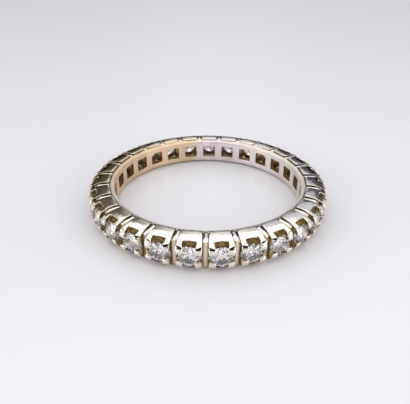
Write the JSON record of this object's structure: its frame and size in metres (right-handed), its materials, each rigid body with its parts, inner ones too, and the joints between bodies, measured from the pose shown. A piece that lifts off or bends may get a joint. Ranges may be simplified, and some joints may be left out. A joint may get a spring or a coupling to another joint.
{
  "type": "eternity ring",
  "caption": "Full eternity ring: square claw collets soldered round a windowed gallery rail, each holding one round brilliant, lying on its side.",
  "frame": {"origin": "on the finger axis, in the plane that the ring lies on", "axes": "+Z along the finger axis, away from the surface; +Y through the middle of stone_01; the stones are numbered anticlockwise seen from +Z"},
  "size_m": [0.0216, 0.0216, 0.0026],
  "materials": {
    "white_gold": "polished 18 carat white gold with a warm, worn cast",
    "diamond": "clear, polished facets"
  },
  "bodies": {
    "root": {"setting": "white_gold", "stone_01": "diamond", "stone_02": "diamond", "stone_03": "diamond", "stone_04": "diamond", "stone_05": "diamond", "stone_06": "diamond", "stone_07": "diamond", "stone_08": "diamond", "stone_09": "diamond", "stone_10": "diamond", "stone_11": "diamond", "stone_12": "diamond", "stone_13": "diamond", "stone_14": "diamond", "stone_15": "diamond", "stone_16": "diamond", "stone_17": "diamond", "stone_18": "diamond", "stone_19": "diamond", "stone_20": "diamond", "stone_21": "diamond", "stone_22": "diamond", "stone_23": "diamond", "stone_24": "diamond", "stone_25": "diamond", "stone_26": "diamond", "stone_27": "diamond"}
  },
  "joints": []
}
